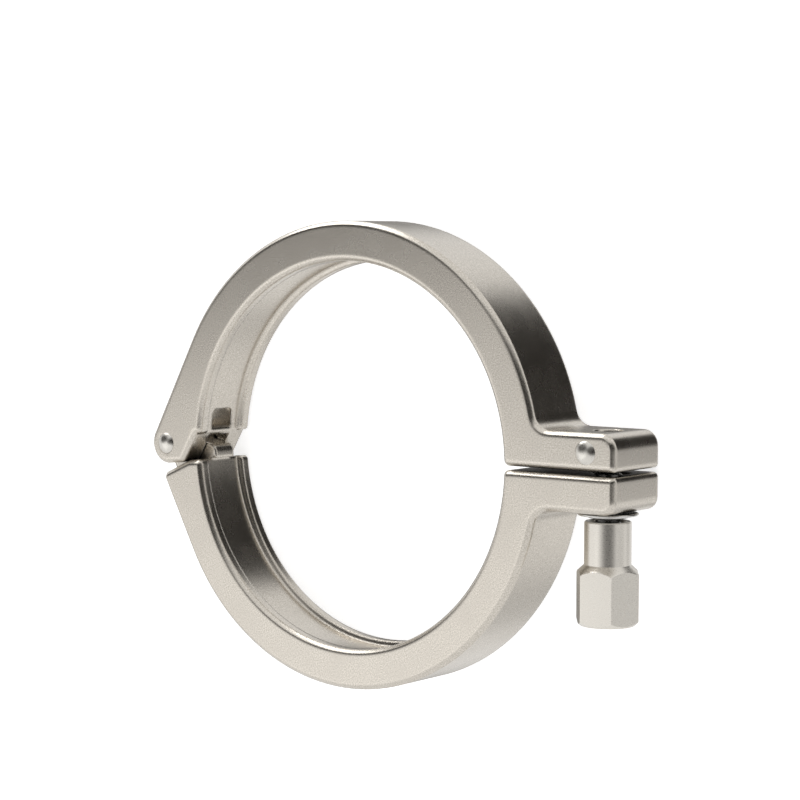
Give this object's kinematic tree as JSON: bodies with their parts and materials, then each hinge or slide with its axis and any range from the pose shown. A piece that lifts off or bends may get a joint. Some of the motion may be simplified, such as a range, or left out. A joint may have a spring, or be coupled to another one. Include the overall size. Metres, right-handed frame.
{
  "type": "sanitary hinged clamp",
  "caption": "Hinged half rings with an inner V-groove, drawn together at their lugs by a pinned bolt and a long collar nut, to clamp a pair of sanitary ferrules.",
  "frame": {"origin": "on the axis of the ring, half way between its two flat faces", "axes": "+Z along the ring's axis towards the face with the domed pin heads, +X towards the lugs, +Y towards the half with the hinge ears; it lies on its rear face"},
  "size_m": [0.1742, 0.14, 0.0252],
  "materials": {
    "cast_steel": "cast stainless steel, bead-blasted satin",
    "pin_steel": "polished rivet heads",
    "bolt_steel": "turned stainless steel",
    "nut_steel": "satin hexagon, brighter turned collar"
  },
  "bodies": {
    "upper": {"upper_half": "cast_steel", "hinge_pin": "pin_steel", "bolt_pin": "pin_steel"},
    "lower": {"lower_half": "cast_steel"},
    "bolt": {"swing_bolt": "bolt_steel"},
    "washer": {"washer": "bolt_steel"},
    "nut": {"nut": "nut_steel"}
  },
  "joints": [
    {"name": "clamp_opening", "type": "hinge", "parent": "upper", "child": "lower", "pos_m": [-0.0722, 0, 0], "axis": [0, 0, -1], "range_deg": [0, 160]},
    {"name": "bolt_swing", "type": "hinge", "parent": "upper", "child": "bolt", "pos_m": [0.0861, 0.00575, 0], "axis": [0, 0, 1], "range_deg": [-2, 2]},
    {"name": "nut_travel", "type": "slide", "parent": "bolt", "child": "washer", "axis": [0, -1, 0], "range_m": [0, 0.475]},
    {"name": "nut_turn", "type": "hinge", "parent": "washer", "child": "nut", "pos_m": [0.0861, -0.0292, 0], "axis": [0, -1, 0], "continuous": true}
  ],
  "couplings": [
    {"joint": "nut_travel", "follows": "clamp_opening", "m_per_rad": 0.17}
  ]
}
